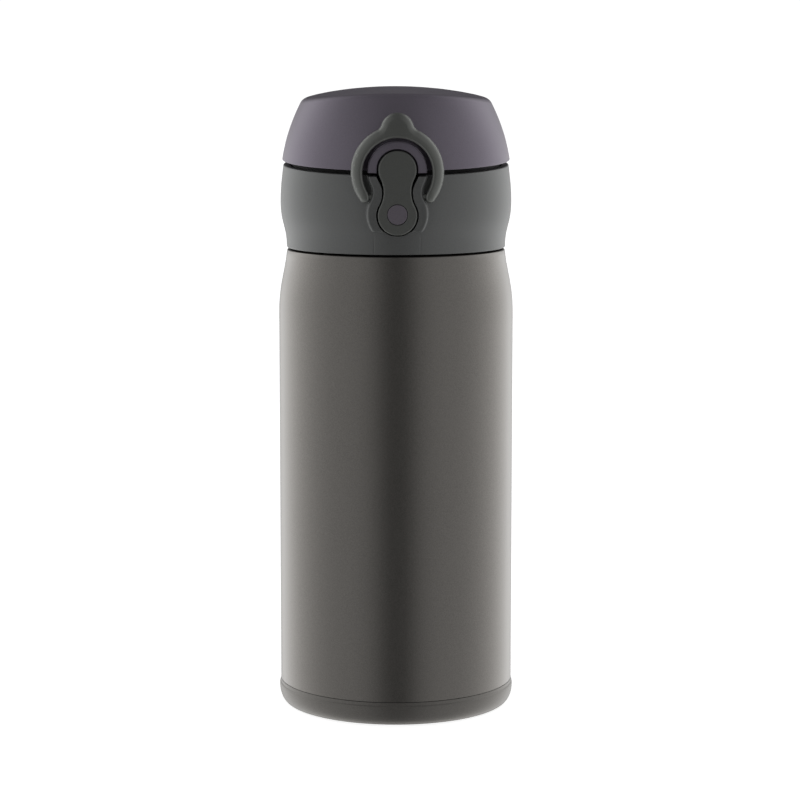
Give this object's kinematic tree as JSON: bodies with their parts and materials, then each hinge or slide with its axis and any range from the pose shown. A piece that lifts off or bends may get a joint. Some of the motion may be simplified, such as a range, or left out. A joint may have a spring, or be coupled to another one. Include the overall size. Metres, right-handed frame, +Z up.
{
  "type": "vacuum flask",
  "caption": "Slim double-walled vacuum flask with a screw-on cap unit, a flip lid on a rear hinge, a front push-button catch and a swinging lock ring.",
  "frame": {"origin": "centre of the base, on the surface that the flask stands on", "axes": "+Z up along the bottle's axis, the push button and lock ring face -Y, the lid's hinge is at +Y"},
  "size_m": [0.0668, 0.072, 0.1748],
  "materials": {
    "painted_shell": "satin metallic paint, dark warm grey",
    "bare_steel": "electropolished stainless steel",
    "foil": "bright foil",
    "getter": "pressed metal powder",
    "solder": "dull solder",
    "collar_plastic": "fine matte moulded polypropylene",
    "inner_plastic": "plain moulded polypropylene",
    "spout_plastic": "polished moulded polypropylene",
    "silicone": "translucent grey silicone rubber",
    "latch_plastic": "satin moulded acetal",
    "lid_plastic": "fine matte moulded polypropylene, purple grey",
    "pin_steel": "drawn stainless wire",
    "spring_steel": "stainless spring wire"
  },
  "bodies": {
    "flask": {"outer_shell": "painted_shell", "base_cup": "painted_shell", "inner_vessel": "bare_steel", "outer_bottom": "bare_steel", "radiation_foil": "foil", "getter_pellet": "getter", "vacuum_seal": "solder"},
    "neck_seal": {"neck_gasket": "silicone"},
    "cap_unit": {"collar_shell": "collar_plastic", "thread_sleeve": "inner_plastic", "spout": "spout_plastic", "button_pin": "pin_steel", "button_spring": "spring_steel", "hinge_pin": "pin_steel", "hinge_spring": "spring_steel"},
    "button": {"button_lever": "latch_plastic", "button_dot": "lid_plastic"},
    "ring": {"lock_ring": "latch_plastic"},
    "lid": {"lid_shell": "lid_plastic", "lid_liner": "inner_plastic", "lid_gasket": "silicone"}
  },
  "joints": [
    {"name": "cap_lift", "type": "slide", "parent": "flask", "child": "neck_seal", "axis": [0, 0, 1], "range_m": [0, 0.03]},
    {"name": "cap_turn", "type": "hinge", "parent": "neck_seal", "child": "cap_unit", "pos_m": [0, 0, 0.14], "axis": [0, 0, 1], "range_deg": [0, 2160]},
    {"name": "lid_open", "type": "hinge", "parent": "cap_unit", "child": "lid", "pos_m": [0, 0.0334, 0.154], "axis": [-1, 0, 0], "range_deg": [0, 110], "deforming": ["hinge_spring"]},
    {"name": "button_press", "type": "hinge", "parent": "cap_unit", "child": "button", "pos_m": [0, -0.0316, 0.1476], "axis": [1, 0, 0], "range_deg": [0, 8], "stiffness_Nm_per_rad": 0.1, "springref_deg": -2.86, "deforming": ["button_spring"]},
    {"name": "ring_swing", "type": "hinge", "parent": "cap_unit", "child": "ring", "pos_m": [0, -0.0334, 0.1462], "axis": [1, 0, 0], "range_deg": [0, 150]}
  ],
  "couplings": [
    {"joint": "cap_lift", "follows": "cap_turn", "m_per_rad": 0.00079577}
  ]
}
